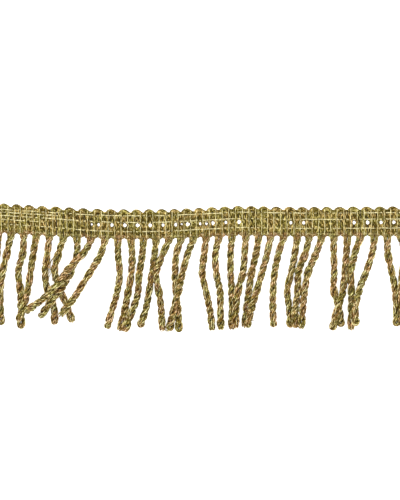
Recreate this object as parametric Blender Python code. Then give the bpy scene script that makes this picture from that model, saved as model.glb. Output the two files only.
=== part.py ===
"""Cord fringe trim: a knitted heading with a row of twisted cords, laid flat on a surface.

Frame: X along the trim, +Y from the cord ends towards the scalloped edge, +Z up from the
surface, origin at the middle of the heading's back face.
"""

import math

import bmesh
import bpy
from mathutils import Vector, geometry

MM = 0.001

# Heading, in metres
PITCH = 4.73 * MM  # from one cord to the next
HEADING_DEPTH = 10.0 * MM
SCALLOP_DEPTH = 0.85 * MM
GROUND_THICKNESS = 1.0 * MM  # in the valleys between the legs
LEG_RISE = 0.5 * MM  # a leg's crest over its valleys
STITCH_RISE = 0.25 * MM  # a chain stitch over the leg that it binds
STITCH_IN_VALLEY = 0.4  # share of that rise where the stitch crosses a valley
STITCH_ROWS = (2.3 * MM, 4.6 * MM, 7.7 * MM)  # below the top of the scallops
STITCH_HALF_WIDTH = 0.4 * MM
LEGS_PER_CORD = 2
COLUMNS_PER_CORD = 4  # points across each cord's width of heading
EDGE_THINNING = 0.75  # thickness at the scallops' rim against the band's

# Strip that carries the cords, parted from the heading
PART_GAP = 0.3 * MM
STRIP_TOP = 8.4 * MM  # below the top of the scallops
STRIP_ROWS = 3

# Cords, in metres
CORD_RADIUS = 1.3 * MM  # half the long diagonal of the section
CORD_WAIST = 1.0 * MM  # half the short diagonal
ROOT_RADIUS = 1.45 * MM
ROOT_HEIGHT = 1.17 * MM  # of the centre line inside the strip
ROOT_INSET = 0.8 * MM  # how far a cord starts inside the strip
ROOT_TAPER = 2.2 * MM
REST_GAP = 0.05 * MM  # under the strip and the cords: the heading's back is the lowest face
TWIST_START = 1.5 * MM  # a cord's root lies flat up to here
TWIST_PITCH = 7.1 * MM
RINGS_PER_TURN = 5
END_SWELL = 1.12  # radius of the looped end against the cord's
END_LENGTH = 4.6 * MM
END_ROUND = 1.0 * MM
END_POINT = 0.8  # how much of the section the rounded end loses
END_RINGS = (1.0, 0.35, 0.0)  # distances of the last rings from the end, of END_ROUND
LAY_GAP = 0.05 * MM  # between a cord and one that it lies on
LAY_SLOPE = 0.55  # steepest climb on to another cord
LAY_SMOOTH = 1.2 * MM
ROUTE_STEP = 0.25 * MM
BEZIER_POINTS = 24  # between two of a route's own points
NEIGHBOURS = 6  # cords to the left that a cord can reach
WELD = 0.01 * MM  # points nearer than this are one

# The heading lies in a slight wave: (x, y of its centre line), in millimetres
HEADING_WAVE = (
    (-90.0, 2.3),
    (-71.0, 1.5),
    (-53.0, 0.4),
    (-33.0, -0.5),
    (-15.0, -0.55),
    (4.0, 0.15),
    (14.0, 0.65),
    (33.0, 0.35),
    (51.0, 0.35),
    (71.0, 0.5),
    (95.0, 0.5),
)

# Cords from left to right, each laid over its left-hand neighbours, in millimetres:
# (root's shift along the heading, sideways offsets from the root at one to five fifths
# of the drop, drop from the heading's lower edge to the end)
FIRST_ROOT = -78.2 * MM
CORDS = (
    (0.0, (-0.5, -1.2, -2.4, -3.4, -4.0), 34.5),
    (-0.2, (-0.3, -1.6, -3.0, -4.2, -4.8), 34.0),
    (-0.2, (-1.3, -2.9, -3.9, -3.9, -3.6), 34.3),
    (-0.5, (-0.1, -1.8, -1.1, -0.8, -0.8), 35.3),
    (-0.5, (-0.9, -1.9, -2.8, -4.0, -6.4), 32.0),
    (-0.5, (-0.6, -1.5, -0.8, 1.7, 2.0), 33.2),
    (0.0, (-1.7, -3.2, -1.5, 1.1, 3.4), 32.1),
    (0.1, (0.1, -1.7, -4.6, -9.2, -13.7), 30.1),
    (0.6, (-2.1, -7.3, -11.3, -16.5, -23.8), 27.6),
    (0.9, (-1.3, -4.6, -8.2, -11.8, -16.4), 29.1),
    (0.9, (0.1, 0.7, -0.3, -2.2, -4.1), 33.6),
    (0.9, (0.5, 0.1, -1.1, -2.4, -4.1), 34.5),
    (0.8, (-0.5, -1.6, -2.1, -4.3, -6.9), 34.5),
    (0.6, (-0.5, -1.3, -2.5, -3.7, -6.0), 33.1),
    (0.7, (-2.5, -4.7, -3.6, -2.8, -2.6), 34.4),
    (0.3, (-1.8, -2.1, -1.8, -1.0, -0.7), 35.1),
    (0.2, (-2.3, -4.1, -5.7, -7.6, -8.9), 34.8),
    (0.0, (-0.7, -1.4, 0.1, 1.5, 2.3), 34.9),
    (0.0, (-1.3, -1.0, 0.4, 0.5, 0.7), 35.1),
    (0.0, (-0.5, -0.5, -0.1, 0.0, -0.1), 35.1),
    (0.3, (-0.4, -1.0, -2.8, -3.6, -3.9), 34.6),
    (0.3, (-0.9, -2.5, -3.6, -4.4, -5.2), 34.4),
    (-0.1, (-1.2, -3.0, -5.0, -7.1, -8.8), 34.1),
    (0.0, (-1.9, -3.3, -3.9, -4.0, -3.7), 34.0),
    (0.2, (-0.9, -2.2, -3.7, -2.9, -2.5), 34.1),
    (-0.2, (-1.4, -4.0, -4.1, -5.1, -5.2), 34.0),
    (-0.3, (-2.1, -5.0, -6.3, -7.2, -8.0), 34.3),
    (-0.7, (0.0, 0.2, 0.0, 2.0, 2.8), 33.8),
    (-0.4, (-0.4, -1.0, -1.9, -4.3, -5.7), 35.1),
    (-0.3, (-2.2, -3.8, -3.4, -3.4, -3.6), 35.2),
    (0.0, (-0.8, -2.9, -5.5, -7.2, -7.1), 33.4),
    (0.0, (0.1, 1.5, 2.8, 3.2, 3.3), 33.8),
    (0.0, (1.5, 0.7, 0.0, 0.3, 0.4), 33.9),
    (0.0, (-0.7, -1.1, -0.4, 0.4, 0.7), 34.4),
    (0.0, (-0.3, -1.0, -1.5, -1.4, -1.3), 34.0),
)

# Colour, roughness and metallic value of each piece
HEADING_FINISH = ((0.29, 0.20, 0.045, 1.0), 0.45, 0.7)
FRINGE_FINISH = ((0.33, 0.22, 0.06, 1.0), 0.42, 0.7)


def clear_scene():
    for item in list(bpy.data.objects):
        bpy.data.objects.remove(item, do_unlink=True)


def make_collection(name):
    collection = bpy.data.collections.new(name)
    bpy.context.scene.collection.children.link(collection)
    return collection


def make_material(name, finish):
    colour, roughness, metallic = finish
    material = bpy.data.materials.new(name)
    material.use_nodes = True
    shader = material.node_tree.nodes["Principled BSDF"]
    shader.inputs["Base Color"].default_value = colour
    shader.inputs["Roughness"].default_value = roughness
    shader.inputs["Metallic"].default_value = metallic
    material.diffuse_color = colour
    return material


def smooth_curve(points, position):
    """Height of a smooth curve through (position, height) points, and flat past its ends."""
    if position <= points[0][0]:
        return points[0][1]
    for k in range(len(points) - 1):
        (x0, y0), (x1, y1) = points[k], points[k + 1]
        if position > x1:
            continue
        before = points[max(k - 1, 0)]
        after = points[min(k + 2, len(points) - 1)]
        slope0 = (y1 - before[1]) / (x1 - before[0])
        slope1 = (after[1] - y0) / (after[0] - x0)
        t = (position - x0) / (x1 - x0)
        width = x1 - x0
        return (
            (2 * t**3 - 3 * t**2 + 1) * y0
            + (t**3 - 2 * t**2 + t) * width * slope0
            + (3 * t**2 - 2 * t**3) * y1
            + (t**3 - t**2) * width * slope1
        )
    return points[-1][1]


def heading_centre(x):
    return smooth_curve(HEADING_WAVE, x / MM) * MM


def scallop_top(x):
    return heading_centre(x) + HEADING_DEPTH / 2


ROOTS = [FIRST_ROOT + k * PITCH + cord[0] * MM for k, cord in enumerate(CORDS)]


def along(step):
    """X at a number of cords from the left end; cord k is at k + 0.5, the gaps at whole numbers."""
    k = min(max(math.floor(step - 0.5), 0), len(ROOTS) - 2)
    return ROOTS[k] + (step - 0.5 - k) * (ROOTS[k + 1] - ROOTS[k])


def band_surface(step, depth):
    """A point of the band's face, at a number of cords along it and a depth below the scallops."""
    leg = math.sin(math.pi * LEGS_PER_CORD * step) ** 2
    on_stitch = any(abs(depth - row) < STITCH_HALF_WIDTH / 2 for row in STITCH_ROWS)
    height = GROUND_THICKNESS + LEG_RISE * leg
    if on_stitch:
        height += STITCH_RISE * (STITCH_IN_VALLEY + (1 - STITCH_IN_VALLEY) * leg)
    scallop = SCALLOP_DEPTH * math.sin(math.pi * step) ** 2
    near_rim = max(0.0, 1.0 - depth / STITCH_ROWS[0])
    height *= 1.0 - (1.0 - EDGE_THINNING) * near_rim**2
    x = along(step)
    return Vector((x, scallop_top(x) - depth - scallop * near_rim, height))


def band_mesh(name, depths, back_height):
    """A flat-backed band: a grid shaped into the ribbed face, with its rim drawn down to its back."""
    columns = len(CORDS) * COLUMNS_PER_CORD
    rows = len(depths) - 1
    bm = bmesh.new()
    bmesh.ops.create_grid(bm, x_segments=columns, y_segments=rows, size=0.5)
    for vert in bm.verts:
        column = round((vert.co.x + 0.5) * columns)
        row = round((0.5 - vert.co.y) * rows)
        vert.co = band_surface(column / COLUMNS_PER_CORD, depths[row])
    face = list(bm.faces)
    back = bmesh.ops.extrude_face_region(bm, geom=face)["geom"]
    for vert in [item for item in back if isinstance(item, bmesh.types.BMVert)]:
        vert.co.z = back_height
    back_faces = [item for item in back if isinstance(item, bmesh.types.BMFace)]
    bmesh.ops.dissolve_faces(bm, faces=back_faces)
    bmesh.ops.recalc_face_normals(bm, faces=bm.faces)
    mesh = bpy.data.meshes.new(name)
    bm.to_mesh(mesh)
    bm.free()
    return mesh


def add_mesh_object(name, mesh, collection, material):
    item = bpy.data.objects.new(name, mesh)
    collection.objects.link(item)
    mesh.materials.clear()
    mesh.materials.append(material)
    return item


def heading_depths():
    """Depths of the heading's rows of points: its edges, and three for each row of stitches."""
    depths = [0.0, STITCH_ROWS[0] / 2]
    for row in STITCH_ROWS:
        depths += [row - STITCH_HALF_WIDTH, row, row + STITCH_HALF_WIDTH]
    depths[-1] = STRIP_TOP - PART_GAP
    between = (STITCH_ROWS[1] + STITCH_ROWS[2]) / 2
    return sorted(depths + [between])


def strip_depths():
    span = HEADING_DEPTH - STRIP_TOP
    return [STRIP_TOP + span * row / STRIP_ROWS for row in range(STRIP_ROWS + 1)]


def cord_radius(distance, length):
    """Radius along a cord: wide where its two legs meet, then even, with a swollen, rounded end."""
    to_end = length - distance
    if distance < ROOT_TAPER:
        t = distance / ROOT_TAPER
        return ROOT_RADIUS + (CORD_RADIUS - ROOT_RADIUS) * t * t * (3 - 2 * t)
    radius = CORD_RADIUS
    if to_end < END_LENGTH:
        t = min(1.0, (END_LENGTH - to_end) / (END_LENGTH / 2))
        radius *= 1 + (END_SWELL - 1) * t * t * (3 - 2 * t)
    if to_end < END_ROUND:
        t = 1 - to_end / END_ROUND
        radius *= math.sqrt(1 - END_POINT * t * t)
    return radius


def flat_route(k):
    """Points of cord k seen from above, evenly spaced from inside the strip to its end."""
    offsets, drop = CORDS[k][1:]
    root = Vector((ROOTS[k], heading_centre(ROOTS[k]) - HEADING_DEPTH / 2, 0.0))
    knots = [root + Vector((0.0, ROOT_INSET, 0.0)), root]
    for fifth, offset in enumerate(offsets, start=1):
        knots.append(root + Vector((offset, -drop * fifth / len(offsets), 0.0)) * MM)
    fine = []
    for a in range(len(knots) - 1):
        before = knots[max(a - 1, 0)]
        after = knots[min(a + 2, len(knots) - 1)]
        start, end = knots[a], knots[a + 1]
        run = (end - start).length
        leave = ((start - before).normalized() + (end - start).normalized()).normalized()
        arrive = ((end - start).normalized() + (after - end).normalized()).normalized()
        handles = (start + leave * run / 3, end - arrive * run / 3)
        piece = geometry.interpolate_bezier(start, *handles, end, BEZIER_POINTS)
        fine += piece[:-1]
    fine.append(knots[-1])
    return resample(fine, ROUTE_STEP)


def resample(points, step):
    """The same line with points about one step apart."""
    total = sum((b - a).length for a, b in zip(points, points[1:]))
    count = max(2, round(total / step))
    spaced = [points[0].copy()]
    travelled = 0.0
    target = total / count
    for a, b in zip(points, points[1:]):
        run = (b - a).length
        while travelled + run >= target * len(spaced) - 1e-12 and len(spaced) <= count:
            spaced.append(a.lerp(b, (target * len(spaced) - travelled) / run))
        travelled += run
    return spaced[: count + 1]


def widest(distance, length):
    """Half the width that a cord is given when others are laid over it."""
    return min(cord_radius(distance, length), CORD_RADIUS * END_SWELL)


def needed_height(point, distance, length, laid):
    """Lowest place for a cord's centre: on the surface, or clear of the cords under it."""
    half_width = widest(distance, length)
    if distance < ROOT_TAPER:
        return ROOT_HEIGHT + (CORD_RADIUS + REST_GAP - ROOT_HEIGHT) * distance / ROOT_TAPER
    height = half_width + REST_GAP
    for under, under_width in laid:
        clear = half_width + under_width + LAY_GAP
        aside = (point.x - under.x) ** 2 + (point.y - under.y) ** 2
        if aside < clear * clear:
            height = max(height, under.z + math.sqrt(clear * clear - aside))
    return height


def lay_cord(route, laid):
    """Heights along a cord's centre, eased so that it climbs on to another cord and off again."""
    length = ROUTE_STEP * (len(route) - 1)
    count = len(route)
    need = [needed_height(route[a], a * ROUTE_STEP, length, laid) for a in range(count)]
    reach = round(LAY_SMOOTH / ROUTE_STEP)
    climb = LAY_SLOPE * ROUTE_STEP
    wide = [max(need[max(0, a - reach) : a + reach + 1]) for a in range(count)]
    for a in range(1, count):
        wide[a] = max(wide[a], wide[a - 1] - climb)
    for a in range(count - 2, -1, -1):
        wide[a] = max(wide[a], wide[a + 1] - climb)
    heights = []
    for a in range(count):
        near = wide[max(0, a - reach) : a + reach + 1]
        heights.append(sum(near) / len(near))
    root_run = round(ROOT_TAPER / ROUTE_STEP)
    for a in range(root_run):
        heights[a] = need[a] + (heights[a] - need[a]) * (a / root_run) ** 2
    return heights


def cord_routes():
    """Every cord's centre line, laid from left to right."""
    routes = []
    laid = []
    for k in range(len(CORDS)):
        route = flat_route(k)
        length = ROUTE_STEP * (len(route) - 1)
        heights = lay_cord(route, [pair for cord in laid[-NEIGHBOURS:] for pair in cord])
        for point, height in zip(route, heights):
            point.z = height
        routes.append(route)
        laid.append([(point, widest(a * ROUTE_STEP, length)) for a, point in enumerate(route)])
    return routes


def cord_section(collection):
    """The four-cornered section that a twisted two-ply cord sweeps, as a guide curve."""
    data = bpy.data.curves.new("cord_section", "CURVE")
    data.dimensions = "2D"
    spline = data.splines.new("POLY")
    spline.points.add(3)
    waist = CORD_WAIST / CORD_RADIUS
    corners = ((1.0, 0.0), (0.0, waist), (-1.0, 0.0), (0.0, -waist))
    for point, (across, up) in zip(spline.points, corners):
        point.co = (across, up, 0.0, 1.0)
    spline.use_cyclic_u = True
    guide = bpy.data.objects.new("cord_section", data)
    guide.hide_render = True
    guide.display_type = "WIRE"
    collection.objects.link(guide)
    return guide


def cord_mesh(route, section, collection):
    """A cord as a twisted sweep of the section, its ends closed."""
    length = ROUTE_STEP * (len(route) - 1)
    stride = round(TWIST_PITCH / RINGS_PER_TURN / ROUTE_STEP)
    last = len(route) - 1
    end_run = round(END_ROUND / ROUTE_STEP)
    stops = list(range(0, last - end_run - stride // 2, stride))
    stops += [last - round(share * end_run) for share in END_RINGS]
    data = bpy.data.curves.new("cord", "CURVE")
    data.dimensions = "3D"
    data.twist_mode = "Z_UP"
    data.bevel_mode = "OBJECT"
    data.bevel_object = section
    data.use_fill_caps = True
    spline = data.splines.new("POLY")
    spline.points.add(len(stops) - 1)
    for point, stop in zip(spline.points, stops):
        distance = stop * ROUTE_STEP
        point.co = (*route[stop], 1.0)
        point.radius = cord_radius(distance, length)
        point.tilt = 2 * math.pi * max(0.0, distance - TWIST_START) / TWIST_PITCH
    item = bpy.data.objects.new("cord", data)
    collection.objects.link(item)
    graph = bpy.context.evaluated_depsgraph_get()
    mesh = bpy.data.meshes.new_from_object(item.evaluated_get(graph))
    bpy.data.objects.remove(item, do_unlink=True)
    bm = bmesh.new()
    bm.from_mesh(mesh)
    bmesh.ops.remove_doubles(bm, verts=bm.verts, dist=WELD)
    bmesh.ops.recalc_face_normals(bm, faces=bm.faces)
    bm.to_mesh(mesh)
    bm.free()
    return mesh


def build_cords(guides, material):
    """All the cords as one guide object of separate closed bodies."""
    section = cord_section(guides)
    together = bmesh.new()
    for route in cord_routes():
        mesh = cord_mesh(route, section, guides)
        together.from_mesh(mesh)
        bpy.data.meshes.remove(mesh)
    mesh = bpy.data.meshes.new("cords")
    together.to_mesh(mesh)
    together.free()
    cords = add_mesh_object("cords_guide", mesh, guides, material)
    cords.hide_render = True
    cords.display_type = "WIRE"
    return cords


def build_heading(parts):
    material = make_material("heading_yarn", HEADING_FINISH)
    mesh = band_mesh("heading", heading_depths(), 0.0)
    return add_mesh_object("heading", mesh, parts, material)


def build_fringe(parts, guides):
    """The narrow strip with every cord's root fused into it."""
    material = make_material("cord_yarn", FRINGE_FINISH)
    mesh = band_mesh("fringe", strip_depths(), REST_GAP)
    strip = add_mesh_object("fringe", mesh, parts, material)
    union = strip.modifiers.new("roots", "BOOLEAN")
    union.operation = "UNION"
    union.solver = "EXACT"
    union.object = build_cords(guides, material)
    return strip


def main():
    clear_scene()
    parts = make_collection("cord_fringe_trim")
    guides = make_collection("guides")
    build_heading(parts)
    build_fringe(parts, guides)


main()
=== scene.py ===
"""Cord fringe trim: the yarns, threads and cords of the trim, and the stage that it lies on.

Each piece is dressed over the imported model, in its frame: X along the trim, +Y from the cord
ends towards the scalloped edge, +Z up from the surface.
"""

import math
import random

import bpy
import numpy as np
from bpy.props import FloatProperty, FloatVectorProperty, IntProperty, PointerProperty
from mathutils import Matrix, Vector, geometry


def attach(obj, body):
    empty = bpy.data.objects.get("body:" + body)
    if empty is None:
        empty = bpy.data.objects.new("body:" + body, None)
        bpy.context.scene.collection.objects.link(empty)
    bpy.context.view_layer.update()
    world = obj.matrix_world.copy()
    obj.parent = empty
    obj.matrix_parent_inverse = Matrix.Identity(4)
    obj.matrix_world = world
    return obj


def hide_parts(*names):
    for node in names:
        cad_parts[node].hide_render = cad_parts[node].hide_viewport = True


bl_info = {
    "name": "Cord fringe trim",
    "version": (1, 0, 0),
    "blender": (4, 5, 0),
    "location": "3D View > Sidebar > Trim",
    "description": "Makes the yarns, threads and stage of a metallic cord fringe",
    "category": "Add Mesh",
}

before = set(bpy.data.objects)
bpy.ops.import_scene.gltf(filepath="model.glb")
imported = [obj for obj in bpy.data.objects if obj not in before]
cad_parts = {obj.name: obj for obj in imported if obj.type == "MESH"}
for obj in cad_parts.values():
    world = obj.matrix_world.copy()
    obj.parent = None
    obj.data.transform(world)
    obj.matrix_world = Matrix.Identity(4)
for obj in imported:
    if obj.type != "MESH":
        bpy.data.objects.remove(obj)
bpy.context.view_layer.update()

MM = 0.001

# The part's own sizes, as in its source
PITCH = 4.73 * MM  # from one cord to the next
HEADING_DEPTH = 10.0 * MM
SCALLOP_DEPTH = 0.85 * MM
CORD_RADIUS = 1.3 * MM
ROOT_RADIUS = 1.45 * MM
ROOT_HEIGHT = 1.17 * MM
ROOT_INSET = 0.8 * MM
ROOT_TAPER = 2.2 * MM
REST_GAP = 0.05 * MM
END_SWELL = 1.12
END_LENGTH = 4.6 * MM
END_ROUND = 1.0 * MM
END_POINT = 0.8
LAY_GAP = 0.05 * MM
LAY_SLOPE = 0.55
LAY_SMOOTH = 1.2 * MM
ROUTE_STEP = 0.25 * MM
BEZIER_POINTS = 24
NEIGHBOURS = 6
FIRST_ROOT = -78.2 * MM

# The heading's slight wave: (x, y of its centre line), in millimetres
HEADING_WAVE = (
    (-90.0, 2.3), (-71.0, 1.5), (-53.0, 0.4), (-33.0, -0.5), (-15.0, -0.55), (4.0, 0.15),
    (14.0, 0.65), (33.0, 0.35), (51.0, 0.35), (71.0, 0.5), (95.0, 0.5),
)

# Cords from left to right, each laid over its left-hand neighbours, in millimetres:
# (root's shift along the heading, sideways offsets from the root at one to five fifths
# of the drop, drop from the heading's lower edge to the end)
CORDS = (
    (0.0, (-0.5, -1.2, -2.4, -3.4, -4.0), 34.5),
    (-0.2, (-0.3, -1.6, -3.0, -4.2, -4.8), 34.0),
    (-0.2, (-1.3, -2.9, -3.9, -3.9, -3.6), 34.3),
    (-0.5, (-0.1, -1.8, -1.1, -0.8, -0.8), 35.3),
    (-0.5, (-0.9, -1.9, -2.8, -4.0, -6.4), 32.0),
    (-0.5, (-0.6, -1.5, -0.8, 1.7, 2.0), 33.2),
    (0.0, (-1.7, -3.2, -1.5, 1.1, 3.4), 32.1),
    (0.1, (0.1, -1.7, -4.6, -9.2, -13.7), 30.1),
    (0.6, (-2.1, -7.3, -11.3, -16.5, -23.8), 27.6),
    (0.9, (-1.3, -4.6, -8.2, -11.8, -16.4), 29.1),
    (0.9, (0.1, 0.7, -0.3, -2.2, -4.1), 33.6),
    (0.9, (0.5, 0.1, -1.1, -2.4, -4.1), 34.5),
    (0.8, (-0.5, -1.6, -2.1, -4.3, -6.9), 34.5),
    (0.6, (-0.5, -1.3, -2.5, -3.7, -6.0), 33.1),
    (0.7, (-2.5, -4.7, -3.6, -2.8, -2.6), 34.4),
    (0.3, (-1.8, -2.1, -1.8, -1.0, -0.7), 35.1),
    (0.2, (-2.3, -4.1, -5.7, -7.6, -8.9), 34.8),
    (0.0, (-0.7, -1.4, 0.1, 1.5, 2.3), 34.9),
    (0.0, (-1.3, -1.0, 0.4, 0.5, 0.7), 35.1),
    (0.0, (-0.5, -0.5, -0.1, 0.0, -0.1), 35.1),
    (0.3, (-0.4, -1.0, -2.8, -3.6, -3.9), 34.6),
    (0.3, (-0.9, -2.5, -3.6, -4.4, -5.2), 34.4),
    (-0.1, (-1.2, -3.0, -5.0, -7.1, -8.8), 34.1),
    (0.0, (-1.9, -3.3, -3.9, -4.0, -3.7), 34.0),
    (0.2, (-0.9, -2.2, -3.7, -2.9, -2.5), 34.1),
    (-0.2, (-1.4, -4.0, -4.1, -5.1, -5.2), 34.0),
    (-0.3, (-2.1, -5.0, -6.3, -7.2, -8.0), 34.3),
    (-0.7, (0.0, 0.2, 0.0, 2.0, 2.8), 33.8),
    (-0.4, (-0.4, -1.0, -1.9, -4.3, -5.7), 35.1),
    (-0.3, (-2.2, -3.8, -3.4, -3.4, -3.6), 35.2),
    (0.0, (-0.8, -2.9, -5.5, -7.2, -7.1), 33.4),
    (0.0, (0.1, 1.5, 2.8, 3.2, 3.3), 33.8),
    (0.0, (1.5, 0.7, 0.0, 0.3, 0.4), 33.9),
    (0.0, (-0.7, -1.1, -0.4, 0.4, 0.7), 34.4),
    (0.0, (-0.3, -1.0, -1.5, -1.4, -1.3), 34.0),
)

# How the yarns lie, in metres
YARNS = 5  # in each leg of the heading, and in each ply of a cord round a yarn in its middle
TUBE_SIDES = 6
YARN_STEP = 0.34 * MM  # between two rings of a yarn
PLY_OFFSET = 0.66 * MM  # from a cord's centre to a ply's
PLY_DEPTH = 0.4 * MM  # half a ply's yarn ring, away from the cord's centre
PLY_BREADTH = 0.72 * MM  # half of it across
END_PLY_OFFSET = 0.78 * MM
YARN_TURN = 6.2 * MM  # length in which a ply's yarns turn once round it, against the cord's twist
TWIST_SPREAD = (0.9, 1.15)  # shortest and longest length of a cord's turn, against the mean
TWIST_START = 1.0 * MM
TWIST_EASE = 2.0 * MM
TWIST_UNEVEN = 0.7  # radians that a cord's twist runs ahead of its mean, and behind
TWIST_SWAY = 2.4 * MM  # length in which it goes through a radian of that
LEG_OVERLAP = 1.3 * MM  # of a cord's yarns, up into the heading
ROOT_END = 3.0 * MM  # down to here, the rings are at half the step
SPREAD_START = 1.15 * MM  # where the legs begin to close to a cord
QUICK_CLOSE = 0.7 * MM  # length in which they close most of the way, in an arc
QUICK_SHARE = 0.72  # of the way that they close in it
SLOW_CLOSE = 4.0 * MM  # length in which they close all the way
# (outwards from the leg's middle, height) of the yarns in a leg, from the gap's side
LEG_ARCH = ((0.9, 0.42), (0.45, 0.74), (0.0, 0.9), (-0.45, 0.74), (-0.9, 0.42))
MIDDLE_YARN = (0.0, 0.4)
LEG_STEPS = 25  # along a leg
LOOP_STEPS = 7  # round its loop
LEG_DRIFT = 0.05 * MM  # of a leg's yarns and threads aside
CORD_DRIFT = 0.035 * MM  # of a cord's yarns
DRIFT_STEP = 0.4 * MM
DRIFT_EASE = 2.0 * MM  # length in which a leg's drift fades before its end
LOOP_START = 1.5 * MM  # below the scallops' top, where a leg bends over
LOOP_RISE = 0.34 * MM  # of the outermost yarn over the part's own scallops
LOOP_POINT = 1.5  # 1 for a round loop, more for one that narrows towards its top
LOOP_LEAN = -0.4 * MM  # of the loops' tops along the heading
EDGE_DEPTH = 1.0 * MM  # of the uppermost yarn along the edge, below the scallops' top
# (further down, height, swing up and down) of the yarns along the edge, in millimetres
EDGE_YARNS = ((0.0, 0.5, 0.15), (0.35, 0.72, -0.15))
EDGE_DRIFT = 0.06 * MM
EDGE_STEPS = 12  # across a cord's width of heading
END_MARGIN = 0.02  # of a cord's width that rows and edge yarns stay inside the heading's ends
# Painted shade: a cord's yarns are painted darker near the root, where they come out from under the
# heading
ROOT_SHADE = 0.15  # how much darker a cord's yarns are at its root, and how far down that fades
ROOT_FADE = 4.5 * MM
LEG_END = 9.7 * MM
LEG_SINK = 0.3 * MM  # of a leg's yarns under the cord's that take over from them, and the other way
SINK_START = 8.9 * MM
SINK_END = 9.7 * MM
GROUND_END = 10.1 * MM
GROUND_TONGUE = 1.1 * MM  # how much further the cloth reaches behind each cord
GROUND_START = 0.75 * MM  # below the scallops' top
GROUND_HEIGHT = 0.12 * MM
GROUND_MARGIN = 0.05  # of a cord's width that the cloth stays inside the heading's ends
GROUND_COLUMNS = 4  # across a cord's width
GROUND_ROWS = 8
RIM_DEPTH = 2.3 * MM  # down to here, the cloth's rows follow the scallops
RIM_SHARE = 0.7  # of the scallops' depth
END_STEPS = 4  # rings round a cord's end
CORDS_A_PIECE = 9  # cords in each piece; so that a piece stays under 200,000 triangles

# How often the metal's glints change in a millimetre of yarn, and in a turn round it
SPECKLE_LENGTH = 0.95
SPECKLE_TURN = 1.6

# See-through holes of the heading: the gap's number from the left, half the hole's width in mm
GAP_HOLES = {
    9: 0.36, 10: 0.42, 11: 0.5, 12: 0.6, 13: 0.5, 14: 0.38, 15: 0.45, 16: 0.62, 17: 0.36,
    18: 0.5, 19: 0.38, 20: 0.52, 24: 0.4, 25: 0.42, 29: 0.45, 30: 0.5, 31: 0.42, 32: 0.45,
}
CORD_HOLES = {8: 0.25, 15: 0.3, 17: 0.4}
HOLE_DEPTH = 5.6 * MM  # below the scallops' top
HOLE_REACH = 0.72 * MM  # half the height over which the yarns part
HOLE_SHIFT = 0.2 * MM  # of the holes to the right of their gap or cord
PARTED = 1.1  # how far the yarns part, as a share of the hole's size
PARTED_MORE = 0.3 * MM  # and on top of that
PUNCHED = 1.35  # radius of the hole in the cloth, as a share of the hole's size
PUNCH_SCALE = (1.0, 1.2, 1.0)

# The fine threads' rows, below the scallops' top, and how they drift up along the heading
THREAD_ROWS = (2.1 * MM, 4.45 * MM, 7.75 * MM, 3.2 * MM, 6.0 * MM)
DRIFT_DEPTH = 7.75 * MM  # of the row that drifts the most
ROW_DRIFT = ((-90.0, 0.45), (-55.0, 0.4), (-40.0, -0.1), (-15.0, -0.15), (0.0, 0.05), (90.0, 0.05))

# Stretches in which each row of stitches shows on top of the yarns, in millimetres of x
SHOWN_STITCHES = (
    ((-80, -69), (-64, -60), (-55, -51), (-45, -39), (-36, -29), (-27, -22), (-16, -13),
     (-8, -1), (1, 8), (14, 18), (24, 30), (34, 39), (55, 57), (60, 65), (68, 70), (75, 85)),
    ((-80, -67), (-64, -61), (-58, -46), (-36, -32), (-28, -22), (-17, -11), (-7, -1),
     (1, 13), (37, 52), (60, 64), (68, 84)),
    ((-80, -74), (-64, -62), (-58, -56), (-45, -43), (-40, -33), (-28, -26), (-21, -15),
     (-9, 8), (13, 18), (35, 41), (49, 51), (54, 64), (66, 82)),
    ((-80, -72), (-70, -66), (-64, -58), (-56, -53)),
    ((-79, -71), (-69, -65), (-62, -59)),
)
ROW_TAIL = 2.0  # millimetres that a row runs on under the yarns after the last of them
ROW_STEPS = 16  # across a cord's width of heading
ROW_PHASE = 0.37  # half turns by which a row's strands differ from the next row's
SHOWN_EASE = 0.8  # millimetres in which a row comes up, or goes down
HIGH_STITCHES = 0.72  # share of the stitches that come all the way up
LOW_STITCH = 0.5  # how far the others come up
ROW_OVER_LEG = 0.42  # millimetres of a stitch over the middle of a leg's uppermost yarn
ROW_DIP = 0.12 * MM  # lower between two legs
ROW_SINK = 0.62 * MM  # lower where the row doesn't show
ROW_STRAY = 0.07 * MM
STRAND_SWING = 0.09  # millimetres that a row's two strands swing up and down the heading
STRAND_RISE = 0.06 * MM  # and off it

# The pale thread on a leg's crest
CREST_START = 0.7 * MM  # below the scallops' top
CREST_RUN = HEADING_DEPTH - 1.2 * MM
CREST_STEPS = 21
CREST_PROUD = 0.3  # of its thickness that its middle lies over the yarns

# Darkest and lightest tone of the yarns in each piece
CORD_TONES = (-0.35, 0.3)
HEADING_TONES = (-0.3, 0.3)
LOOSE_TONES = (-0.6, 0.2)
ROW_TONE = 0.2

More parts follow.
